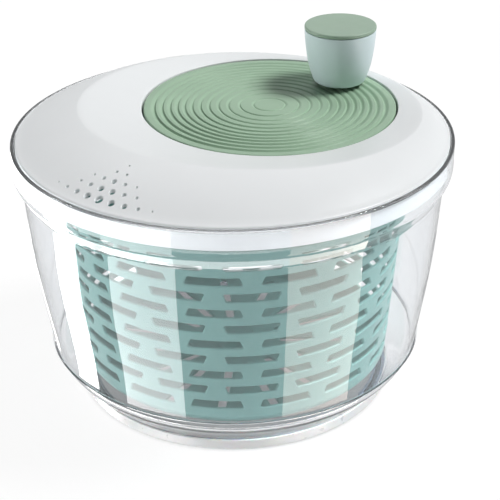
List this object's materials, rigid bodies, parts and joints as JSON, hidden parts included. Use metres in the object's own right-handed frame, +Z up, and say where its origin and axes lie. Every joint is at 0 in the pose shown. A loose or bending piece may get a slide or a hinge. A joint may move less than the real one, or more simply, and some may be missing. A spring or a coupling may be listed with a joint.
{
  "type": "salad spinner",
  "caption": "Crank salad spinner: clear bowl on a foot ring, slotted basket inside, white lid with drain holes, and a ringed off-centre crank disc with a round knob.",
  "frame": {"origin": "centre of the circle that the foot ring stands on", "axes": "+Z up along the axis that the basket turns on; -Y towards the lid's drain holes; +Y towards the crank disc's centre"},
  "size_m": [0.2604, 0.2604, 0.203],
  "materials": {
    "bowl_clear": "clear, polished",
    "foot_milky": "milky translucent, soft",
    "basket_mint": "satin moulded",
    "lid_white": "satin moulded",
    "wheel_white": "moulded",
    "crank_sage": "satin, moulded rings",
    "knob_pale": "satin moulded",
    "cap_sage": "satin moulded",
    "bearing_plastic": "undyed, smooth",
    "steel": "bright zinc"
  },
  "bodies": {
    "bowl": {"bowl": "bowl_clear", "foot_ring": "foot_milky"},
    "bearing": {"basket_bearing": "bearing_plastic"},
    "basket": {"basket": "basket_mint"},
    "lid": {"lid_shell": "lid_white", "pinion_bush": "bearing_plastic", "crank_bush": "bearing_plastic"},
    "crank": {"crank_disc": "crank_sage", "ring_gear": "bearing_plastic", "crank_washer": "steel", "crank_screw": "steel", "ring_gear_screw_1": "steel", "ring_gear_screw_2": "steel", "ring_gear_screw_3": "steel", "ring_gear_screw_4": "steel", "knob_washer": "steel", "knob_screw": "steel"},
    "driver": {"drive_pinion": "bearing_plastic", "drive_plate": "wheel_white", "drive_washer": "steel", "drive_screw": "steel"},
    "knob": {"knob_body": "knob_pale", "knob_cap": "cap_sage"}
  },
  "joints": [
    {"name": "basket_lift", "type": "slide", "parent": "bowl", "child": "bearing", "axis": [0, 0, 1], "range_m": [0, 0.15]},
    {"name": "basket_spin", "type": "hinge", "parent": "bearing", "child": "basket", "pos_m": [0, 0, 0.02], "axis": [0, 0, 1], "continuous": true},
    {"name": "lid_lift", "type": "slide", "parent": "bearing", "child": "lid", "axis": [0, 0, 1], "range_m": [0, 0.08]},
    {"name": "crank_spin", "type": "hinge", "parent": "lid", "child": "crank", "pos_m": [0, 0.039, 0.15], "axis": [0, 0, 1], "continuous": true},
    {"name": "driver_spin", "type": "hinge", "parent": "lid", "child": "driver", "pos_m": [0, 0, 0.15], "axis": [0, 0, 1], "continuous": true},
    {"name": "knob_spin", "type": "hinge", "parent": "crank", "child": "knob", "pos_m": [0.01675, 0.09244, 0.175], "axis": [0, 0, 1], "continuous": true}
  ],
  "couplings": [
    {"joint": "driver_spin", "follows": "crank_spin", "ratio": 3.1667},
    {"joint": "basket_spin", "follows": "crank_spin", "ratio": 3.1667}
  ]
}
